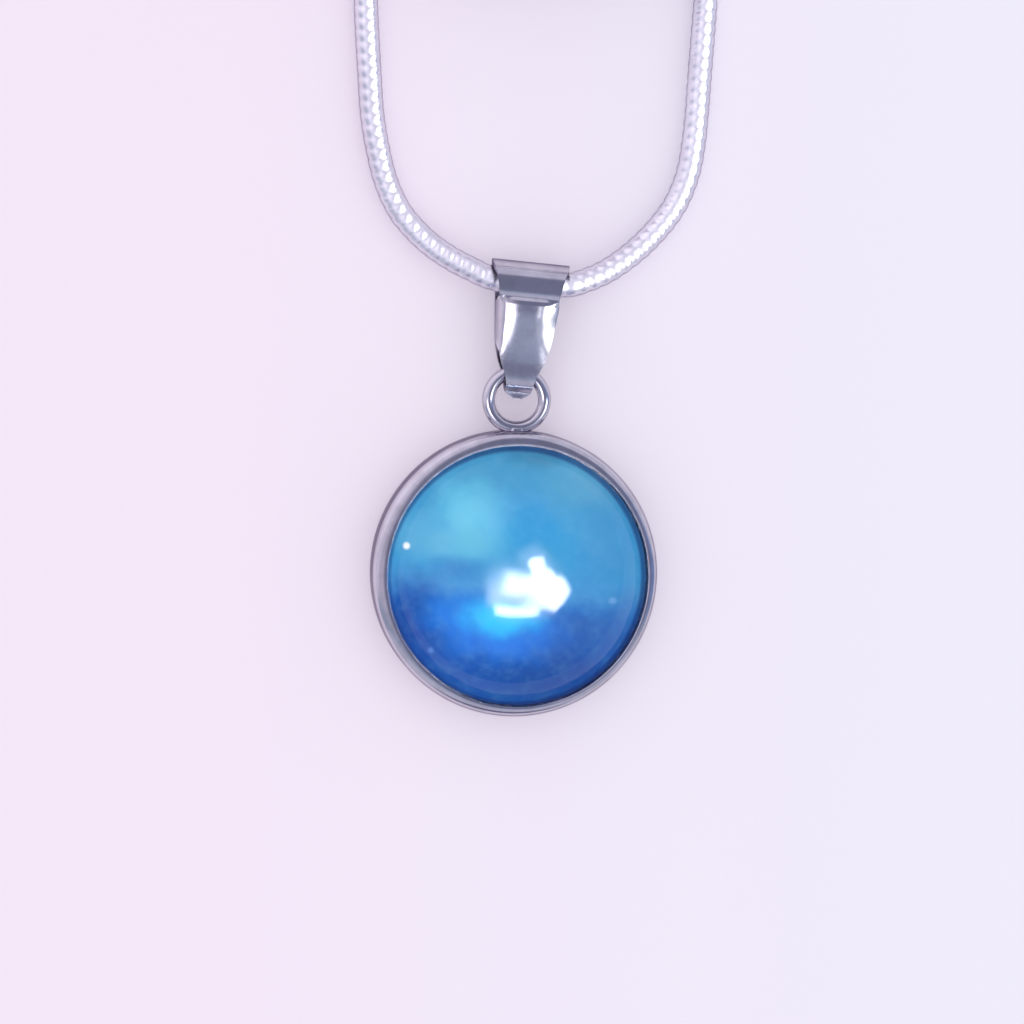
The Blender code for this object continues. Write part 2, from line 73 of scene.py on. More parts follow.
# Height above the ring's centre, and half the strip's width, in millimetres
BAIL_WIDTHS = [(0.10, 0.42), (0.30, 0.58), (1.00, 0.70), (1.90, 1.05), (2.90, 1.28), (4.20, 1.40),
               (5.30, 1.50), (6.10, 1.68), (6.62, 1.88)]

CHAIN_RADIUS = 0.6 * MM
LINK_PITCH = 0.575 * MM
# The chain's coil, in millimetres
COIL_CENTRE = (0.4, 38.3)
COIL_TURN_RADIUS = 8.0
COIL_TURN_GAP = 1.3
COIL_LAYER_HEIGHT = 1.25
COIL_LOWEST_LEFT = 0.60
COIL_LOWEST_RIGHT = 3.10
COIL_TURNS = 4.0
COIL_INWARD_TURNS = 1.75
COIL_POINTS_PER_TURN = 24

# The chain's way from the coil, through the bail and back, in millimetres
CHAIN_ROUTE = [
    (-7.62, 33.5, 0.60), (-7.62, 30.6, 0.60), (-7.57, 27.9, 0.60), (-7.48, 26.2, 0.60),
    (-7.34, 24.2, 0.60), (-7.20, 22.4, 0.60), (-6.93, 20.8, 0.60), (-6.52, 19.2, 0.60),
    (-5.89, 17.8, 0.62), (-5.10, 16.8, 0.66), (-4.20, 15.98, 0.76), (-3.20, 15.32, 0.92),
    (-2.30, 14.87, 1.10), (-1.365, 14.468, 1.24), (0.509, 14.097, 1.28), (2.419, 14.124, 1.24),
    (3.24, 14.33, 1.13), (4.42, 14.84, 0.93), (5.72, 15.76, 0.74), (6.88, 16.9, 0.64),
    (7.78, 18.15, 0.60), (8.35, 19.6, 0.60), (8.62, 21.1, 0.60), (8.77, 22.8, 0.60),
    (8.87, 24.5, 0.60), (9.00, 26.5, 0.60), (9.10, 28.3, 0.62), (9.08, 30.2, 0.92),
    (8.92, 32.0, 1.70), (8.70, 33.5, 2.36),
]
# From the right side's rise into the upper coil, and out of it again
COIL_ENTRY_ROUTE = [(8.50, 36.0, 3.02)]
COIL_EXIT_ROUTE = [(8.45, 40.0, 4.32)]
# The two ends, from the coil to the end caps
CLASP_TAIL_ROUTE = [
    (-7.85, 43.1, 1.78), (-8.05, 45.5, 1.42), (-8.25, 48.0, 0.92), (-8.40, 50.5, 0.66),
    (-8.50, 53.0, 0.61), (-8.55, 55.5, 0.76), (-8.55, 57.8, 0.94), (-8.55, 60.3, 0.95),
]
RING_TAIL_ROUTE = [
    (8.82, 42.9, 3.86), (9.08, 45.0, 3.02), (9.28, 47.3, 1.95), (9.40, 49.6, 1.08),
    (9.45, 51.8, 0.70), (9.45, 53.8, 0.68), (9.45, 55.9, 0.92), (9.45, 58.0, 1.10),
    (9.45, 60.3, 1.10),
]

CAP_RADIUS = 0.9 * MM
CAP_BORE = 0.66 * MM
CAP_BORE_DEPTH = 2.6 * MM
CAP_LENGTH = 4.2 * MM
CAP_NECK = 0.45 * MM
CAP_LOOP_MAJOR = 0.84 * MM
CAP_LOOP_WIRE = 0.26 * MM
CAP_LOOP_AT = 5.15 * MM
# The middles of the two caps' mouths
CLASP_CAP = Vector((-8.55 * MM, 58.0 * MM, 0.95 * MM))
RING_CAP = Vector((9.45 * MM, 58.0 * MM, 1.10 * MM))


# ---------------------------------------------------------------- shader helpers

def add(tree, kind, inputs=None, **settings):
    """A new node. inputs maps socket names or numbers to sockets or plain values."""
    node = tree.nodes.new("ShaderNode" + kind)
    for name, value in settings.items():
        setattr(node, name, value)
    for key, value in (inputs or {}).items():
        if isinstance(value, bpy.types.NodeSocket):
            tree.links.new(value, node.inputs[key])
        else:
            node.inputs[key].default_value = value
    return node


def maths(tree, operation, *values):
    return add(tree, "Math", dict(enumerate(values)), operation=operation).outputs[0]


def vector_maths(tree, operation, a, b):
    return add(tree, "VectorMath", {0: a, 1: b}, operation=operation).outputs[0]


def stretched(tree, vector, factor):
    return add(tree, "VectorMath", {0: vector, "Scale": factor}, operation="SCALE").outputs[0]


def length_of(tree, vector):
    return add(tree, "VectorMath", {0: vector}, operation="LENGTH").outputs["Value"]


def smooth_step(tree, value, start, end, low=0.0, high=1.0):
    """low before start, high after end, and a smooth rise between them."""
    inputs = {"Value": value, "From Min": start, "From Max": end, "To Min": low, "To Max": high}
    return add(tree, "MapRange", inputs, interpolation_type="SMOOTHSTEP").outputs["Result"]


def mixed(tree, share, a, b):
    """Colour a at share 0 and colour b at share 1."""
    node = add(tree, "Mix", {0: share}, data_type="RGBA")
    for key, value in ((6, a), (7, b)):
        if isinstance(value, bpy.types.NodeSocket):
            tree.links.new(value, node.inputs[key])
        else:
            node.inputs[key].default_value = (*value, 1)
    return node.outputs[2]


def linear(red, green, blue):
    """A colour that is written as it shows on a screen, 0 to 255, as light."""
    return tuple((c / 255 / 12.92) if c <= 10 else ((c / 255 + 0.055) / 1.055) ** 2.4
                 for c in (red, green, blue))


def new_material(name):
    made = bpy.data.materials.new(name)
    made.use_nodes = True
    return made, made.node_tree, made.node_tree.nodes["Principled BSDF"]


def noise(tree, vector, scale, detail=3.0, roughness=0.5, distortion=0.0):
    inputs = {"Vector": vector, "Scale": scale, "Detail": detail, "Roughness": roughness,
              "Distortion": distortion}
    return add(tree, "TexNoise", inputs).outputs["Fac"]


def position(tree):
    return add(tree, "TexCoord").outputs["Object"]


def place_in_bore(tree):
    """Where a point lies seen from above, from the middle of the cup's bore."""
    from_middle = vector_maths(tree, "SUBTRACT", position(tree), BORE_CENTRE)
    return vector_maths(tree, "MULTIPLY", from_middle, (1, 1, 0))


# ---------------------------------------------------------------- materials

def metal_material(name, colour, edge_colour, roughness, scratch_depth, tarnish):
    """Polished metal: fine scratches, a slightly uneven gloss and faint darker patches."""
    made, tree, shader = new_material(name)
    where = position(tree)
    patches = noise(tree, where, 900, 4, 0.6)
    fine = noise(tree, where, 9000, 3, 0.6)
    scratches = noise(tree, where, 14000, 2, 0.7)
    dark = tuple(c * (1 - 2 * tarnish) for c in colour)
    tree.links.new(mixed(tree, smooth_step(tree, patches, 0.35, 0.62), dark, colour),
                   shader.inputs["Base Color"])
    gloss = maths(tree, "ADD", smooth_step(tree, patches, 0.3, 0.7, 0.03, -0.01),
                  smooth_step(tree, fine, 0.3, 0.8, roughness - 0.03, roughness + 0.05))
    tree.links.new(gloss, shader.inputs["Roughness"])
    bump = add(tree, "Bump", {"Strength": 0.35, "Distance": scratch_depth * MM, "Height": scratches})
    tree.links.new(bump.outputs["Normal"], shader.inputs["Normal"])
    shader.inputs["Metallic"].default_value = 1.0
    shader.inputs["Specular Tint"].default_value = (*edge_colour, 1)
    return made


# The dome's mirroring falls off between these distances from its middle
DULLER_FROM = 3.6 * MM
DULLER_TO = 5.2 * MM


def glass_material():
    """Clear polished glass under a slightly softer worn surface."""
    made, tree, shader = new_material("dome_glass")
    haze = noise(tree, position(tree), 700, 4, 0.65)
    tree.links.new(smooth_step(tree, haze, 0.35, 0.75, 0.10, 0.22), shader.inputs["Coat Roughness"])
    far = length_of(tree, place_in_bore(tree))
    duller = smooth_step(tree, far, DULLER_FROM, DULLER_TO)
    tree.links.new(smooth_step(tree, far, DULLER_FROM, DULLER_TO, 0.15, 0.03),
                   shader.inputs["Coat Weight"])
    tree.links.new(mixed(tree, duller, (0.65, 0.66, 0.70), (0.12, 0.12, 0.14)),
                   shader.inputs["Specular Tint"])
    shader.inputs["Base Color"].default_value = (0.97, 0.985, 1.0, 1)
    shader.inputs["Transmission Weight"].default_value = 1.0
    shader.inputs["Roughness"].default_value = 0.0
    shader.inputs["IOR"].default_value = 1.5
    return made


def patch(tree, where, centre, size, softness, ragged=None):
    """A soft-edged oval patch, 1 in its middle. where holds the two coordinates."""
    across = maths(tree, "DIVIDE", maths(tree, "SUBTRACT", where[0], centre[0]), size[0])
    up = maths(tree, "DIVIDE", maths(tree, "SUBTRACT", where[1], centre[1]), size[1])
    far = maths(tree, "SQRT", maths(tree, "ADD", maths(tree, "MULTIPLY", across, across),
                                    maths(tree, "MULTIPLY", up, up)))
    if ragged is not None:
        far = maths(tree, "ADD", far, ragged)
    return smooth_step(tree, far, 1 - softness, 1 + softness, 1, 0)


# How much brighter the foil shows than its own colour, and what the glass's own gloss adds to it
FOIL_GAIN = 1.15
FOIL_VEIL = 0.030
# How much the dome magnifies the foil's middle, and how that falls toward the edge
LENS_MIDDLE = 1.237
LENS_FALL = -0.177

# The foil's pattern is laid out as it shows through the glass, from 0 in the middle to 1 at the glass's
# edge, and colours are written as they show, 0 to 255. The stops run from the foil's bottom to its top
FOIL_STOPS = [(0.05, (48, 92, 164)), (0.22, (42, 90, 168)), (0.36, (46, 106, 188)),
              (0.455, (60, 128, 202)), (0.52, (80, 150, 206)), (0.62, (70, 156, 206)),
              (0.75, (70, 157, 205)), (0.92, (80, 154, 194))]
# Ragged patches, the last of them a painted azure glow of light just below the dome's highlight, and small
# painted glints: their middle, half size, strength and colour
FOIL_PATCHES_AND_GLOW = [((-0.40, 0.62), (0.20, 0.18), 0.7, (90, 174, 208)),
                ((-0.34, 0.42), (0.26, 0.24), 0.95, (112, 198, 224)),
                ((-0.40, 0.24), (0.22, 0.12), 0.7, (100, 182, 208)),
                ((-0.74, 0.30), (0.22, 0.16), 0.8, (102, 176, 210)),
                ((-0.46, 0.05), (0.20, 0.08), 0.75, (62, 128, 190)),
                ((0.05, 0.42), (0.26, 0.26), 0.5, (62, 152, 210)),
                ((0.55, 0.72), (0.30, 0.16), 0.6, (104, 172, 204)),
                ((0.16, 0.96), (0.26, 0.10), 0.7, (72, 128, 160)),
                ((0.74, 0.14), (0.26, 0.42), 0.5, (80, 144, 196)),
                ((0.48, -0.44), (0.28, 0.18), 0.7, (46, 92, 162)),
                ((0.34, -0.76), (0.40, 0.20), 0.75, (46, 84, 154)),
                ((0.80, -0.45), (0.24, 0.26), 0.5, (62, 104, 172)),
                ((-0.80, -0.36), (0.24, 0.28), 0.8, (44, 76, 154)),
                ((-0.48, -0.30), (0.24, 0.13), 0.8, (36, 128, 220)),
                ((-0.12, -0.46), (0.40, 0.18), 0.9, (28, 124, 224)),
                # The last patch is a painted azure glow of light below the dome's highlight
                ((-0.12, -0.33), (0.24, 0.11), 0.95, (60, 200, 252))]
# Small painted glints on the foil: a white one at the left and two faint lighter ones
PAINTED_FOIL_GLINTS = [((-0.865, 0.225), (0.026, 0.026), 1.0, (255, 255, 250)),
              ((-0.66, -0.59), (0.022, 0.022), 0.7, (100, 140, 214)),
              ((0.74, -0.19), (0.03, 0.024), 0.6, (128, 176, 222))]
FOIL_MOTTLE = (130, 196, 226)
# The painted shade round the foil's edge, where the cup's lip shades it, and the middle of its circle,
# which leaves the shade wider at the upper right
FOIL_EDGE_SHADE = (38, 62, 116)
EDGE_SHADE_CENTRE = (-0.007, -0.012, 0)


def under_glass(red, green, blue):
    """The foil's own colour where it is to show like this, 0 to 255, through the dome."""
    return tuple(max(0.0005, c - FOIL_VEIL) / FOIL_GAIN for c in linear(red, green, blue))


def foil_material():
    """Marbled blue and teal foil: light teal above, royal blue below, with a painted azure glow of light
    below the dome's highlight.
    """
    made, tree, shader = new_material("marbled_foil")
    own = stretched(tree, place_in_bore(tree), 1 / GLASS_RADIUS)
    own_far = length_of(tree, own)
    squared = maths(tree, "MULTIPLY", own_far, own_far)
    flat = stretched(tree, own, maths(tree, "MULTIPLY_ADD", squared, LENS_FALL, LENS_MIDDLE))
    place = add(tree, "SeparateXYZ", {0: flat})
    across, up = where = place.outputs[0], place.outputs[1]

    swirl = maths(tree, "SUBTRACT", noise(tree, flat, 2.1, 5, 0.55, 0.6), 0.5)
    cloud = maths(tree, "SUBTRACT", noise(tree, flat, 4.3, 5, 0.6, 0.4), 0.5)
    # Height over the sloping line where blue meets teal, made to swirl
    shore = maths(tree, "MULTIPLY_ADD", across, -0.08, -0.15)
    level = maths(tree, "SUBTRACT", up, shore)
    level = maths(tree, "MULTIPLY_ADD", swirl, 0.22, level)

    ramp = add(tree, "ValToRGB", {0: maths(tree, "MULTIPLY_ADD", level, 0.5, 0.5)})
    while len(ramp.color_ramp.elements) < len(FOIL_STOPS):
        ramp.color_ramp.elements.new(0.5)
    for element, (at, shown) in zip(ramp.color_ramp.elements, FOIL_STOPS):
        element.position = at
        element.color = (*under_glass(*shown), 1)
    colour = ramp.outputs[0]

    ragged = maths(tree, "MULTIPLY", cloud, 1.5)
    marks = [(mark, 0.75, ragged) for mark in FOIL_PATCHES_AND_GLOW] + [(mark, 0.5, None) for mark in PAINTED_FOIL_GLINTS]
    for (centre, size, share, shown), softness, raggedness in marks:
        mask = patch(tree, where, centre, size, softness, raggedness)
        colour = mixed(tree, maths(tree, "MULTIPLY", mask, share), colour, under_glass(*shown))

    mottle = smooth_step(tree, noise(tree, flat, 9, 6, 0.7), 0.40, 0.75, 0.0, 0.12)
    colour = mixed(tree, mottle, colour, under_glass(*FOIL_MOTTLE))
    # Painted shade: the foil darkens toward its edge, under the cup's lip
    far = length_of(tree, vector_maths(tree, "SUBTRACT", flat, EDGE_SHADE_CENTRE))
    edge = smooth_step(tree, far, 0.965, 1.0, 0.0, 0.75)
    colour = mixed(tree, edge, colour, under_glass(*FOIL_EDGE_SHADE))
    tree.links.new(colour, shader.inputs["Base Color"])
    shader.inputs["Roughness"].default_value = 0.6
    shader.inputs["Specular IOR Level"].default_value = 0.2
    bump = add(tree, "Bump", {"Strength": 0.2, "Distance": 0.02 * MM, "Height": noise(tree, flat, 14, 4)})
    tree.links.new(bump.outputs["Normal"], shader.inputs["Normal"])
    return made


def resin_material():
    """Cured adhesive with a faint haze."""
    made, tree, shader = new_material("clear_adhesive")
    haze = noise(tree, position(tree), 1200, 4)
    tree.links.new(mixed(tree, haze, (0.70, 0.73, 0.78), (0.84, 0.86, 0.88)), shader.inputs["Base Color"])
    tree.links.new(smooth_step(tree, haze, 0.3, 0.7, 0.3, 0.5), shader.inputs["Roughness"])
    return made


# ---------------------------------------------------------------- meshes

def new_object(name, mesh, material, body, replaced=(), sharp=radians(40)):
    """A finished piece that rides on a body and stands for the replaced CAD nodes, if there are any."""
    mesh.name = name
    thing = bpy.data.objects.new(name, mesh)
    bpy.context.scene.collection.objects.link(thing)
    mesh.materials.clear()
    mesh.materials.append(material)
    mesh.shade_smooth()
    if sharp:
        mesh.set_sharp_from_angle(angle=sharp)
    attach(thing, body)
    if replaced:
        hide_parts(*replaced)
    return thing


def rings_mesh(rings, closed_way=False, capped=True, around=True):
    """A skin over rings of points, each with the same number of points.

    closed_way joins the last ring to the first, capped closes the two ends, and around joins each
    ring's last point to its first.
    """
    work = bmesh.new()
    rows = [[work.verts.new(point) for point in ring] for ring in rings]
    pairs = list(zip(rows, rows[1:]))
    if closed_way:
        pairs.append((rows[-1], rows[0]))
    for low, high in pairs:
        for i in range(len(low) if around else len(low) - 1):
            j = (i + 1) % len(low)
            work.faces.new((low[i], low[j], high[j], high[i]))
    if capped and not closed_way:
        work.faces.new(list(reversed(rows[0])))
        work.faces.new(rows[-1])
    bmesh.ops.recalc_face_normals(work, faces=work.faces)
    mesh = bpy.data.meshes.new("rings")
    work.to_mesh(mesh)
    work.free()
    return mesh


def turned_mesh(profile, steps, matrix=Matrix.Identity(4)):
    """A solid turned about Z from (radius, height) points, with flat faces across its two ends."""
    rings = [[Vector((r * cos(2 * pi * i / steps), r * sin(2 * pi * i / steps), h)) for i in range(steps)]
             for r, h in profile]
    mesh = rings_mesh(rings)
    mesh.transform(matrix)
    return mesh


def torus_mesh(major, wire, matrix, steps, sides, wobble=0.0):
    """A round wire ring about Z. wobble makes the wire slightly uneven."""
    rings = []
    for i in range(steps):
        a = 2 * pi * i / steps
        radius = wire * (1 + wobble * sin(3 * a + 0.7) + 0.6 * wobble * sin(7 * a))
        out = Vector((cos(a), sin(a), 0))
        rings.append([out * (major + radius * cos(b)) + Vector((0, 0, radius * sin(b)))
                      for b in (2 * pi * k / sides for k in range(sides))])
    mesh = rings_mesh(rings, closed_way=True)
    mesh.transform(matrix)
    return mesh


def arc(centre, radius, start, end, steps):
    """Points on an arc, between two angles in degrees."""
    return [(centre[0] + radius * cos(radians(start + (end - start) * i / steps)),
             centre[1] + radius * sin(radians(start + (end - start) * i / steps)))
            for i in range(steps + 1)]


# ---------------------------------------------------------------- chain

def coil_points(start_angle, way, low):
    """One half of the chain's coil: in along its lower layer, up, and out along its upper one."""
    points = []
    for i in range(round(COIL_TURNS * COIL_POINTS_PER_TURN) + 1):
        turn = i / COIL_POINTS_PER_TURN
        inward = min(turn, COIL_INWARD_TURNS, COIL_TURNS - turn)
        radius = COIL_TURN_RADIUS - COIL_TURN_GAP * inward
        climb = (turn - COIL_INWARD_TURNS) / (COIL_TURNS - 2 * COIL_INWARD_TURNS)
        climb = max(0.0, min(1.0, climb))
        height = low + COIL_LAYER_HEIGHT * climb * climb * (3 - 2 * climb)
        angle = start_angle + way * 2 * pi * turn
        points.append((COIL_CENTRE[0] + radius * cos(angle), COIL_CENTRE[1] + radius * sin(angle), height))
    return points


def smooth_route(route, spacing, between=16):
    """Points at an even spacing on a smooth curve through the route's points, in metres.

    between says how many points the curve itself has for each point of the route.
    """
    knots = [Vector(point) * MM for point in route]
    knots = [2 * knots[0] - knots[1], *knots, 2 * knots[-1] - knots[-2]]
    dense = []
    for a, b, c, d in zip(knots, knots[1:], knots[2:], knots[3:]):
        for i in range(between):
            t = i / between
            dense.append(0.5 * (2 * b + (c - a) * t + (2 * a - 5 * b + 4 * c - d) * t * t
                                + (3 * b - a - 3 * c + d) * t * t * t))
    dense.append(knots[-2])
    lengths = [0.0]
    for a, b in zip(dense, dense[1:]):
        lengths.append(lengths[-1] + (b - a).length)
    count = round(lengths[-1] / spacing)
    spaced, at = [], 0
    for i in range(count + 1):
        target = lengths[-1] * i / count
        while at < len(dense) - 2 and lengths[at + 1] < target:
            at += 1
        share = (target - lengths[at]) / (lengths[at + 1] - lengths[at])
        spaced.append(dense[at].lerp(dense[at + 1], min(1.0, share)))
    return spaced


def chain_route():
    """The whole chain, from the clasp's cap to the end ring's cap, in millimetres."""
    left_coil = coil_points(pi, -1, COIL_LOWEST_LEFT)
    right_coil = coil_points(0, 1, COIL_LOWEST_RIGHT)
    return [*reversed(CLASP_TAIL_ROUTE), *reversed(left_coil), *CHAIN_ROUTE, *COIL_ENTRY_ROUTE,
            *right_coil, *COIL_EXIT_ROUTE, *RING_TAIL_ROUTE]


# How far the rings of one link lie under its widest, as a share of the chain's radius
LINK_PROFILE = [0.125, 0.03, 0.0, 0.005, 0.05]
# How far a link's edge waves along the chain
LINK_WAVE = 0.09 * MM
CHAIN_SIDES = 20


def make_chain(metal):
    """A round snake chain: close wavy links, each swelling from a narrow groove."""
    points = smooth_route(chain_route(), LINK_PITCH / len(LINK_PROFILE))
    rings = []
    across = Vector((0, 0, 1))
    for i, point in enumerate(points):
        along = (points[min(i + 1, len(points) - 1)] - points[max(i - 1, 0)]).normalized()
        across = (across - along * across.dot(along)).normalized()
        side = along.cross(across)
        sunk = LINK_PROFILE[i % len(LINK_PROFILE)]
        ring = []
        for k in range(CHAIN_SIDES):
            a = 2 * pi * k / CHAIN_SIDES
            radius = CHAIN_RADIUS * (1 - sunk * (0.30 + 0.70 * abs(cos(a))))
            ring.append(point + radius * (cos(a) * across + sin(a) * side) + LINK_WAVE * cos(2 * a) * along)
        rings.append(ring)
    nodes = ("chain_loop", "chain_coil", "chain_tail_clasp", "chain_tail_ring")
    chain = new_object("snake_chain", rings_mesh(rings), metal, "chain", nodes, None)
    return chain, points[::len(LINK_PROFILE)]


# ---------------------------------------------------------------- end caps, rings and clasp

# How far the cap's neck rises above its shoulder, and how much its edge is cut back
CAP_NECK_RISE = 0.18 * MM
CAP_NECK_EDGE = 0.12 * MM
# The bend between the cap's side and its sloping shoulder
CAP_BEND = 0.4 * MM
CAP_BEND_INSET = 0.04 * MM
CAP_BEND_DROP = 0.27 * MM
CAP_SIDE_DROP = 0.4 * MM
# The two crimp grooves: where each begins, how wide and how deep they are
CAP_GROOVES_AT = (3.1 * MM, 1.0 * MM)
CAP_GROOVE_WIDTH = 0.5 * MM
CAP_GROOVE_DEPTH = 0.07 * MM
CAP_MOUTH_ROUNDING = 0.08 * MM


def make_cap(name, mouth, loop_upright, metal):
    """A crimped tube over the chain's end, with two crimp grooves and a soldered loop."""
    shoulder = CAP_LENGTH + CAP_RADIUS - CAP_NECK
    bend_centre = (CAP_RADIUS - CAP_BEND_INSET - CAP_BEND, CAP_LENGTH - CAP_BEND_DROP)
    mouth_centre = (CAP_RADIUS - CAP_MOUTH_ROUNDING, CAP_MOUTH_ROUNDING)
    profile = [(CAP_NECK - CAP_NECK_EDGE, shoulder + CAP_NECK_RISE),
               (CAP_NECK, shoulder + CAP_NECK_RISE - CAP_NECK_EDGE), (CAP_NECK, shoulder),
               *arc(bend_centre, CAP_BEND, 45, 0, 6), (CAP_RADIUS, CAP_LENGTH - CAP_SIDE_DROP)]
    for at in CAP_GROOVES_AT:
        profile += [(CAP_RADIUS - CAP_GROOVE_DEPTH * sin(pi * i / 8), at - CAP_GROOVE_WIDTH * i / 8)
                    for i in range(9)]
    profile += [*arc(mouth_centre, CAP_MOUTH_ROUNDING, 0, -90, 5), (CAP_BORE, 0),
                (CAP_BORE, CAP_BORE_DEPTH)]
    lying = Matrix.Translation(mouth) @ Euler((-pi / 2, 0, 0)).to_matrix().to_4x4()
    cap = new_object(name + "_barrel", turned_mesh(profile, 64, lying), metal, "chain",
                     (name,))
    turn = Euler((0, pi / 2, 0)) if loop_upright else Euler((0, 0, 0))
    at_loop = Matrix.Translation(mouth + Vector((0, CAP_LOOP_AT, 0))) @ turn.to_matrix().to_4x4()
    loop = new_object(name + "_loop", torus_mesh(CAP_LOOP_MAJOR, CAP_LOOP_WIRE, at_loop, 64, 20), metal,
                      "chain")
    return cap, loop


# A corner sharper than this stays an edge
SHARP_CORNER = radians(32)


def refined(node, name, body, metal, edge=0.0):
    """A copy of a CAD node with welded points and smooth shading. edge rounds its corners."""
    work = bmesh.new()
    work.from_mesh(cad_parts[node].data)
    bmesh.ops.remove_doubles(work, verts=work.verts, dist=0.002 * MM)
    bmesh.ops.dissolve_limit(work, angle_limit=radians(1), verts=work.verts, edges=work.edges)
    mesh = bpy.data.meshes.new(name)
    work.to_mesh(mesh)
    work.free()
    thing = new_object(name, mesh, metal, body, (node,), SHARP_CORNER)
    if edge:
        bevel = thing.modifiers.new("soft_edges", "BEVEL")
        bevel.width = edge
        bevel.segments = 3
        bevel.limit_method = "ANGLE"
        bevel.angle_limit = SHARP_CORNER
        bevel.harden_normals = True
    return thing


# ---------------------------------------------------------------- pendant

# The roundings of the cup's edges: the lip's inside and outside, and round its back
LIP_INSIDE = 0.03 * MM
LIP_OUTSIDE = 0.54 * MM
BACK_ROUNDING = 0.25 * MM
LIP_UNEVENNESS = 0.012 * MM


def make_cup(metal):
    """The cup: a flat back, a straight wall and a rounded lip, slightly uneven along its top."""
    profile = [(CUP_BORE, CUP_FLOOR), (CUP_BORE, CUP_HEIGHT - 2 * LIP_INSIDE)]
    profile += arc((CUP_BORE + LIP_INSIDE, CUP_HEIGHT - 2 * LIP_INSIDE), LIP_INSIDE, 180, 95, 8)
    profile += arc((CUP_RADIUS - LIP_OUTSIDE, CUP_HEIGHT - LIP_OUTSIDE), LIP_OUTSIDE, 88, 0, 20)
    profile += [(CUP_RADIUS, CUP_HEIGHT - LIP_OUTSIDE - 0.2 * MM)]
    profile += arc((CUP_RADIUS - BACK_ROUNDING, BACK_ROUNDING), BACK_ROUNDING, 0, -90, 8)
    mesh = turned_mesh(profile, 192)
    for vertex in mesh.vertices:
        x, y, z = vertex.co
        a = atan2(y, x)
        far = sqrt(x * x + y * y)
        if far > CUP_BORE - 0.01 * MM and z > CUP_FLOOR - 0.01 * MM:
            # The bore is off the cup's middle, so that the lip is narrower on one side
            lip = CUP_RADIUS - CUP_BORE - BORE_CENTRE.x * cos(a) - BORE_CENTRE.y * sin(a)
            moved = CUP_RADIUS - (CUP_RADIUS - far) * lip / (CUP_RADIUS - CUP_BORE)
            vertex.co = (x * moved / far, y * moved / far, z)
        if z > CUP_HEIGHT - LIP_OUTSIDE:
            uneven = LIP_UNEVENNESS * (sin(5 * a + 1.1) + 0.7 * sin(11 * a) + 0.5 * sin(17 * a + 2.0))
            vertex.co.z += min(0, uneven - 0.02 * MM)
    return new_object("cup", mesh, metal, "pendant", ("bezel_cup",), radians(50))


def make_dome(glass):
    """The glass: part of a sphere over a short straight side, down to just above the foil's underside."""
    rise = GLASS_APEX - GLASS_GIRDLE
    sphere = (GLASS_RADIUS ** 2 + rise ** 2) / (2 * rise)
    edge = asin(GLASS_RADIUS / sphere)
    steps = 48
    profile = [(sphere * sin(edge * i / steps), GLASS_APEX - sphere * (1 - cos(edge * i / steps)))
               for i in range(1, steps + 1)]
    low = FOIL_LOW + 0.01 * MM
    profile += [(GLASS_RADIUS, GLASS_GIRDLE - 0.1 * MM), (GLASS_RADIUS, low + 0.1 * MM),
                (GLASS_RADIUS - 0.1 * MM, low)]
    mesh = turned_mesh(profile, 160, Matrix.Translation(BORE_CENTRE))
    return new_object("glass_dome", mesh, glass, "pendant", ("glass_cabochon",), radians(50))


def make_foil(foil):
    """The thin disc of foil, with rings of faces across its top."""
    profile = [(0.62 * MM * i, FOIL_HIGH) for i in range(1, 10)]
    profile += [(FOIL_RADIUS - 0.02 * MM, FOIL_HIGH), (FOIL_RADIUS, FOIL_HIGH - 0.03 * MM),
                (FOIL_RADIUS, FOIL_LOW)]
    mesh = turned_mesh(profile, 96, Matrix.Translation(BORE_CENTRE))
    return new_object("foil", mesh, foil, "pendant", ("colour_foil",))


def make_pendant_ring(metal):
    """The round wire ring that is soldered to the cup's edge."""
    mesh = torus_mesh(RING_MAJOR, RING_WIRE, Matrix.Translation(RING_CENTRE), 128, 28, 0.012)
    return new_object("soldered_ring", mesh, metal, "pendant", ("pendant_ring",))


def make_solder(metal):
    """The solder that joins the ring to the cup's edge: a small lump, wider toward the cup."""
    work = bmesh.new()
    bmesh.ops.create_icosphere(work, subdivisions=4, radius=1)
    for vertex in work.verts:
        n = vertex.co.copy()
        lump = 1 + 0.06 * sin(5 * n.x + 1) * cos(4 * n.z) + 0.04 * sin(9 * n.z + n.x)
        flare = 1 + 0.55 * max(0, -n.y)
        vertex.co = Vector((0.42 * MM * n.x * flare, 0.26 * MM * n.y, 0.36 * MM * n.z * flare)) * lump
        vertex.co += Vector((0, CUP_RADIUS + 0.02 * MM, LINK_HEIGHT))
    mesh = bpy.data.meshes.new("solder")
    work.to_mesh(mesh)
    work.free()
    return new_object("solder", mesh, metal, "pendant")


# ---------------------------------------------------------------- bail

def read_off(table, at):
    """A value between the table's rows, on a smooth curve through them."""
    places = [row[0] for row in table]
    values = [row[1] for row in table]
    if at <= places[0]:
        return values[0]
    if at >= places[-1]:
        return values[-1]
    k = next(i for i in range(len(places) - 1) if at <= places[i + 1])

    def slope(i):
        if i == 0 or i == len(places) - 1:
            return 0.0
        before = (values[i] - values[i - 1]) / (places[i] - places[i - 1])
        after = (values[i + 1] - values[i]) / (places[i + 1] - places[i])
        return 0.0 if before * after <= 0 else 2 * before * after / (before + after)

    width = places[k + 1] - places[k]
    t = (at - places[k]) / width
    return ((2 * t ** 3 - 3 * t ** 2 + 1) * values[k] + (t ** 3 - 2 * t ** 2 + t) * width * slope(k)
            + (3 * t ** 2 - 2 * t ** 3) * values[k + 1] + (t ** 3 - t ** 2) * width * slope(k + 1))


# The height above the ring's centre where the strip's round tips begin, and how long they would be if
# they closed, in millimetres
TIP_ROUND_FROM = 0.52
TIP_ROUND_LENGTH = 0.46
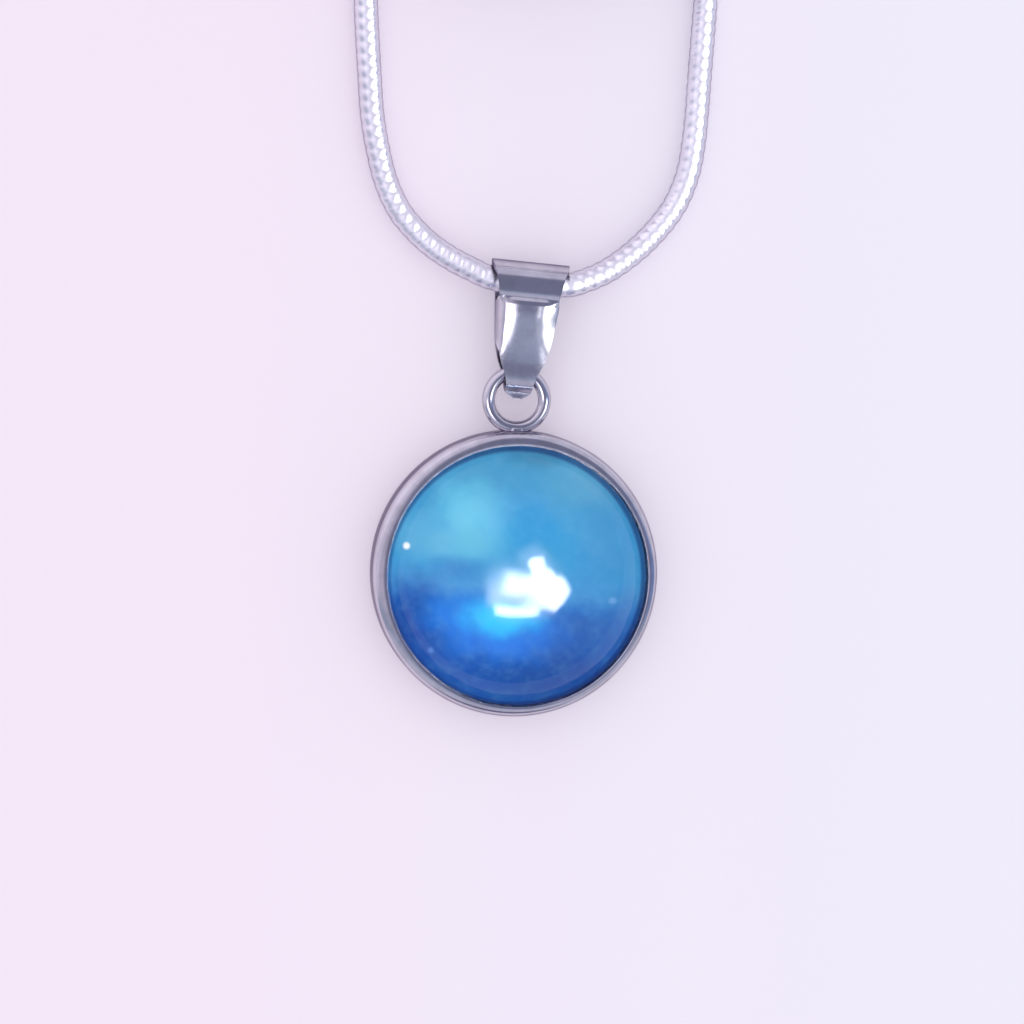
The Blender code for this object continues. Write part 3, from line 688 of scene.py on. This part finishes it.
# How much there is of the front's crown and rolled edge, from 0 to 1, at heights above the ring's
# centre in millimetres, and the height of the crease under the fold
CROWN_TOP = [(4.78, 1.0), (5.0, 0.0)]
CROWN_FOOT = [(1.2, 0.05), (2.3, 0.22), (3.3, 0.68), (4.4, 1.0)]
ROLLED_EDGE = [(2.2, 0.0), (3.2, 1.0), (4.7, 1.0), (5.2, 0.0)]
CREASE_AT = 5.06


def bail_stations():
    """Places along the strip, in millimetres: height above the ring's centre, and depth from its middle."""
    steps = 60
    side = [*BAIL_SIDE, (FOLD_AT / MM, FOLD_RADIUS / MM)]
    low, high = side[0][0], side[-1][0]
    front = []
    for i in range(steps):
        height = low + (high - low) * i / steps
        front.append((height, read_off(side, height)))
    fold = arc((FOLD_AT / MM, 0), FOLD_RADIUS / MM, 90, -90, 32)
    return front + fold + [(height, -depth) for height, depth in reversed(front)]


def front_relief(s, height):
    """How far the front stands out at a share s of its half width: crowned, with a rolled left edge."""
    crown = 0.30 * read_off(CROWN_TOP, height) * read_off(CROWN_FOOT, height) * (0.5 - abs(s) ** 2.6)
    crease = 0.075 * exp(-((height - CREASE_AT) / 0.12) ** 2)
    rolled = 0.50 * read_off(ROLLED_EDGE, height) * max(0.0, (-s - 0.80) / 0.20) ** 2
    return crown - crease - rolled


def make_bail(metal):
    """The folded strip: a crowned front and a flat back that narrow to two tips inside the ring."""
    columns = 28
    rows = []
    for height, depth in bail_stations():
        half = read_off(BAIL_WIDTHS, height)
        if height < TIP_ROUND_FROM:
            half *= sqrt(1 - ((TIP_ROUND_FROM - height) / TIP_ROUND_LENGTH) ** 2)
        row = []
        for k in range(columns + 1):
            s = sin(pi * (k / columns - 0.5))
            out = front_relief(s, height) if depth > 0 else 0.0
            row.append(Vector((s * half, height, depth + out)) * MM)
        rows.append(row)
    mesh = rings_mesh(rows, capped=False, around=False)
    mesh.transform(Matrix.Translation(RING_CENTRE) @ Euler((0, 0, -BAIL_LEAN)).to_matrix().to_4x4())
    bail = new_object("folded_bail", mesh, metal, "bail", ("bail",), radians(60))
    shell = bail.modifiers.new("thickness", "SOLIDIFY")
    shell.thickness = BAIL_THICKNESS
    shell.offset = 0
    shell.use_even_offset = True
    soft = bail.modifiers.new("soft_edges", "BEVEL")
    soft.width = 0.09 * MM
    soft.segments = 4
    soft.limit_method = "ANGLE"
    soft.angle_limit = radians(50)
    return bail


# ---------------------------------------------------------------- camera, floor and light

# The view's width at its centre, and how far the camera stands to the left and above and is turned
VIEW_WIDTH = 49.95 * MM
VIEW_DISTANCE = 300 * MM
VIEW_CENTRE = Vector((-0.24 * MM, 3.07 * MM, 2.2 * MM))
CAMERA_LEFT = radians(6.0)
CAMERA_UP = radians(4.0)
CAMERA_ROLL = radians(0.8)
SENSOR_WIDTH = 36
FLOOR_LEVEL = -0.02 * MM


def make_camera():
    """A long lens over the pendant's face, a little to its left and above it."""
    lens = bpy.data.cameras.new("camera")
    lens.sensor_width = SENSOR_WIDTH
    lens.lens = SENSOR_WIDTH * VIEW_DISTANCE / VIEW_WIDTH
    lens.clip_start = 10 * MM
    lens.clip_end = 10
    camera = bpy.data.objects.new("camera", lens)
    bpy.context.scene.collection.objects.link(camera)
    back = Vector((-tan(CAMERA_LEFT), tan(CAMERA_UP), 1)).normalized()
    up = Vector((-sin(CAMERA_ROLL), cos(CAMERA_ROLL), 0))
    up = (up - back * up.dot(back)).normalized()
    right = up.cross(back)
    turn = Matrix((right, up, back)).transposed()
    camera.matrix_world = Matrix.Translation(VIEW_CENTRE + back * VIEW_DISTANCE) @ turn.to_4x4()
    bpy.context.scene.camera = camera


def make_floor():
    """A plain pale floor that glows faintly, with painted light in its colour: very slightly pinker on the
    left and bluer on the right.
    """
    work = bmesh.new()
    bmesh.ops.create_grid(work, x_segments=8, y_segments=8, size=1.5)
    mesh = bpy.data.meshes.new("floor")
    work.to_mesh(mesh)
    work.free()
    mesh.transform(Matrix.Translation((0, 0, FLOOR_LEVEL)))
    floor = bpy.data.objects.new("floor", mesh)
    bpy.context.scene.collection.objects.link(floor)
    made, tree, shader = new_material("pale_floor")
    place = add(tree, "SeparateXYZ", {0: position(tree)})
    # Painted light: pinker light on the left and bluer light on the right, put into the floor's colour and
    # glow
    share = smooth_step(tree, place.outputs[0], -0.03, 0.03)
    painted_light_tint = mixed(tree, share, (0.913, 0.811, 0.920), (0.871, 0.851, 0.946))
    tree.links.new(painted_light_tint, shader.inputs["Base Color"])
    shader.inputs["Roughness"].default_value = 0.9
    shader.inputs["Specular IOR Level"].default_value = 0.1
    tree.links.new(painted_light_tint, shader.inputs["Emission Color"])
    shader.inputs["Emission Strength"].default_value = 0.15
    mesh.materials.append(made)


def softbox(tree, place, centre, half, edge, turn):
    """A soft-edged rectangle, 1 inside it. place holds x/z and y/z of a direction."""
    across = maths(tree, "SUBTRACT", place[0], tan(radians(centre[0])))
    up = maths(tree, "SUBTRACT", place[1], tan(radians(centre[1])))
    if turn:
        c, s = cos(radians(turn)), sin(radians(turn))
        along = maths(tree, "ADD", maths(tree, "MULTIPLY", across, c), maths(tree, "MULTIPLY", up, s))
        up = maths(tree, "SUBTRACT", maths(tree, "MULTIPLY", up, c), maths(tree, "MULTIPLY", across, s))
        across = along
    masks = [smooth_step(tree, maths(tree, "ABSOLUTE", value), size - edge, size + edge, 1, 0)
             for value, size in ((across, half[0]), (up, half[1]))]
    return maths(tree, "MULTIPLY", *masks)


# What polished things mirror: a dark grey middle, and zones that lie over it in turn. Each has a mix of
# the direction's x and y, two values of it between which the zone fades in, and a colour
STUDIO_MIDDLE = (0.21, 0.22, 0.33)
STUDIO_ZONES = [("x", -0.04, -0.36, (0.57, 0.54, 0.67)),
                ("x", 0.45, 0.80, (0.20, 0.29, 0.56)),
                ("y", -0.21, -0.31, (0.36, 0.42, 0.57)),
                ("y", -0.36, -0.56, (0.58, 0.59, 0.73)),
                ("y", -0.84, -0.96, (0.16, 0.15, 0.27)),
                ("y", 0.74, 0.82, (0.74, 0.71, 0.90)),
                ("y - x", 0.60, 0.82, (0.78, 0.74, 0.90)),
                ("y - x", 1.00, 1.20, (1.00, 0.95, 1.10)),
                ("y + x", 0.95, 1.15, (0.66, 0.66, 0.80))]


def make_world():
    """Soft even light for everything that is matt, and a plain studio for polished things to mirror."""
    world = bpy.data.worlds.new("studio")
    bpy.context.scene.world = world
    world.use_nodes = True
    world.cycles.sampling_method = "NONE"
    tree = world.node_tree
    background = tree.nodes["Background"]
    way = add(tree, "SeparateXYZ", {0: add(tree, "TexCoord").outputs["Generated"]})
    x, y = way.outputs[0], way.outputs[1]
    mixes = {"x": x, "y": y, "y - x": maths(tree, "SUBTRACT", y, x), "y + x": maths(tree, "ADD", y, x)}
    studio = STUDIO_MIDDLE
    for mix, start, end, colour in STUDIO_ZONES:
        studio = mixed(tree, smooth_step(tree, mixes[mix], start, end), studio, colour)

    even = mixed(tree, smooth_step(tree, x, -0.8, 0.8), (0.85, 0.835, 0.87), (0.85, 0.845, 0.88))
    matt = maths(tree, "MINIMUM", add(tree, "LightPath").outputs["Diffuse Depth"], 1.0)
    tree.links.new(mixed(tree, matt, studio, even), background.inputs["Color"])
    background.inputs["Strength"].default_value = 1.0


def lit_collection(name, *pieces):
    """The pieces that a lamp lights."""
    made = bpy.data.collections.new(name)
    for piece in pieces:
        made.objects.link(piece)
    return made


# The height of the light sheets over what they light
SHEET_HEIGHT = 90 * MM


def light_sheet(name, target, reach, radiance, shapes, ragged, lit):
    """A level sheet of light above a piece, which shines only in its soft-edged shapes.

    Places on it are written as sideways over upward distance from the target. A shape has a centre in
    degrees from straight up, a half size, an edge softness, a turn in degrees and a colour, and lies
    over the shapes before it.
    """
    (left, low), (right, high) = reach
    data = bpy.data.lights.new(name, "AREA")
    data.shape = "RECTANGLE"
    data.size = (right - left) * SHEET_HEIGHT
    data.size_y = (high - low) * SHEET_HEIGHT
    data.energy = radiance * pi * data.size * data.size_y
    data.use_nodes = True
    tree = data.node_tree
    offset = vector_maths(tree, "SUBTRACT", add(tree, "NewGeometry").outputs["Position"], target)
    flat = stretched(tree, offset, 1 / SHEET_HEIGHT)
    warp = add(tree, "TexNoise", {"Vector": flat, "Scale": 5.0, "Detail": 4.0}).outputs["Color"]
    warp = stretched(tree, vector_maths(tree, "SUBTRACT", warp, (0.5, 0.5, 0.5)), ragged)
    place = add(tree, "SeparateXYZ", {0: vector_maths(tree, "ADD", flat, warp)}).outputs
    colour = (0, 0, 0)
    for centre, half, edge, turn, light in shapes:
        colour = mixed(tree, softbox(tree, place, centre, half, edge, turn), colour, light)
    tree.links.new(colour, tree.nodes["Emission"].inputs["Color"])
    made = bpy.data.objects.new(name, data)
    bpy.context.scene.collection.objects.link(made)
    made.location = target + Vector(((left + right) / 2, (low + high) / 2, 1)) * SHEET_HEIGHT
    made.visible_camera = False
    made.visible_diffuse = False
    made.visible_transmission = False
    made.light_linking.receiver_collection = lit


def dome_light(dome):
    """The broken white reflection on the glass, like a window with things on its sill."""
    shapes = [((8, -14), (0.48, 0.38), 0.22, 0, (0.13, 0.14, 0.15)),
              ((14, 12), (0.16, 0.16), 0.14, 20, (0.15, 0.15, 0.16)),
              ((-7, -18), (0.27, 0.13), 0.12, 0, (0.30, 0.32, 0.38)),
              ((-9, -10), (0.15, 0.15), 0.16, 0, (0.36, 0.41, 0.45)),
              ((9, -9), (0.32, 0.16), 0.10, -8, (0.78, 0.80, 0.82)),
              ((24, -20), (0.28, 0.15), 0.10, 0, (0.74, 0.73, 0.73)),
              ((32.5, -16.5), (0.22, 0.20), 0.09, 45, (0.92, 0.92, 0.90)),
              ((28.5, -6.5), (0.24, 0.11), 0.07, -41, (1.0, 1.0, 0.97)),
              ((17.5, 1), (0.105, 0.22), 0.05, 10, (1.0, 1.0, 1.0)),
              ((-4, -19), (0.24, 0.06), 0.05, 4, (0.32, 0.33, 0.42)),
              ((10, -21), (0.10, 0.05), 0.05, 0, (0.56, 0.56, 0.60)),
              ((1.5, -28.5), (0.33, 0.085), 0.055, 0, (0.80, 0.93, 0.97))]
    reach = ((-0.7, -1.0), (1.2, 0.6))
    lit = lit_collection("lit_by_dome_light", dome)
    light_sheet("dome_light", Vector((0, 0, GLASS_APEX)), reach, 38, shapes, 0.13, lit)


def bail_light(bail, ring):
    """The white glints down the sides of the folded strip, and a small one beside its middle."""
    shapes = [((46, -17), (0.50, 0.16), 0.05, 0, (1.0, 1.0, 1.0)),
              ((19, -16), (0.03, 0.08), 0.03, 0, (0.80, 0.80, 0.86)),
              ((-27, -17), (0.30, 0.15), 0.05, 0, (0.86, 0.83, 0.92))]
    reach = ((-1.0, -0.6), (1.7, 0.0))
    target = RING_CENTRE + Vector((0, 3 * MM, 1 * MM))
    lit = lit_collection("lit_by_bail_light", bail, ring)
    light_sheet("bail_light", target, reach, 3.4, shapes, 0.05, lit)


# The point that the chain's lamps face
CHAIN_MIDDLE = Vector((0, 24 * MM, 0))


def chain_lamp(name, lit, way, distance, size, radiance, colour):
    """A rectangular lamp that lights only the chain, at a distance from its middle in the way given."""
    data = bpy.data.lights.new(name, "AREA")
    data.shape = "RECTANGLE"
    data.size, data.size_y = size
    data.energy = radiance * pi * size[0] * size[1]
    data.color = colour
    made = bpy.data.objects.new(name, data)
    bpy.context.scene.collection.objects.link(made)
    way = Vector(way).normalized()
    up = (Vector((0, 1, 0)) - way * way.y).normalized()
    axes = Matrix((up.cross(way), up, way)).transposed().to_4x4()
    made.matrix_world = Matrix.Translation(CHAIN_MIDDLE + way * distance) @ axes
    made.visible_camera = False
    made.light_linking.receiver_collection = lit


def chain_lights(chain):
    """A long lamp to the right, which makes each link glint, and a soft one overhead."""
    lit = lit_collection("lit_by_chain_lamps", chain)
    long, overhead = (190 * MM, 260 * MM), (420 * MM, 420 * MM)
    chain_lamp("lamp_chain", lit, (1.0, -0.25, 1.15), 260 * MM, long, 3.6, (1, 0.98, 0.95))
    chain_lamp("lamp_chain_fill", lit, (0.0, 0.1, 1.0), 200 * MM, overhead, 0.45, (0.98, 0.95, 1))


# ---------------------------------------------------------------- the whole necklace

make_camera()

plated = metal_material("plated_metal", (0.66, 0.64, 0.70), (0.28, 0.25, 0.34), 0.16, 0.004, 0.06)
chain_metal = metal_material("snake_chain_metal", (0.86, 0.84, 0.90), (0.26, 0.22, 0.33), 0.30, 0.003, 0.04)
spring_steel = metal_material("drawn_wire", (0.42, 0.42, 0.46), (0.40, 0.40, 0.45), 0.25, 0.006, 0.12)

chain, chain_line = make_chain(chain_metal)
clasp_cap = make_cap("end_cap_clasp", CLASP_CAP, False, plated)
ring_cap = make_cap("end_cap_ring", RING_CAP, True, plated)
jump = refined("clasp_jump_ring", "jump_ring", "clasp_link", plated)
body = refined("clasp_body", "lobster_body", "clasp", plated)
lever = refined("clasp_lever", "lobster_lever", "lever", plated, 0.06 * MM)
spring = refined("clasp_spring", "lobster_spring", "clasp", spring_steel)
pin = refined("clasp_pin", "lobster_pin", "clasp", plated, 0.05 * MM)
end_ring = refined("end_ring", "closing_ring", "end_link", plated)

make_cup(plated)
dome = make_dome(glass_material())
make_foil(foil_material())
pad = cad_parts["adhesive_pad"].data
pad.materials.clear()
pad.materials.append(resin_material())
ring = make_pendant_ring(plated)
make_solder(plated)
bail = make_bail(plated)

make_floor()
make_world()
dome_light(dome)
bail_light(bail, ring)
chain_lights(chain)
bpy.context.scene.view_settings.view_transform = "Standard"
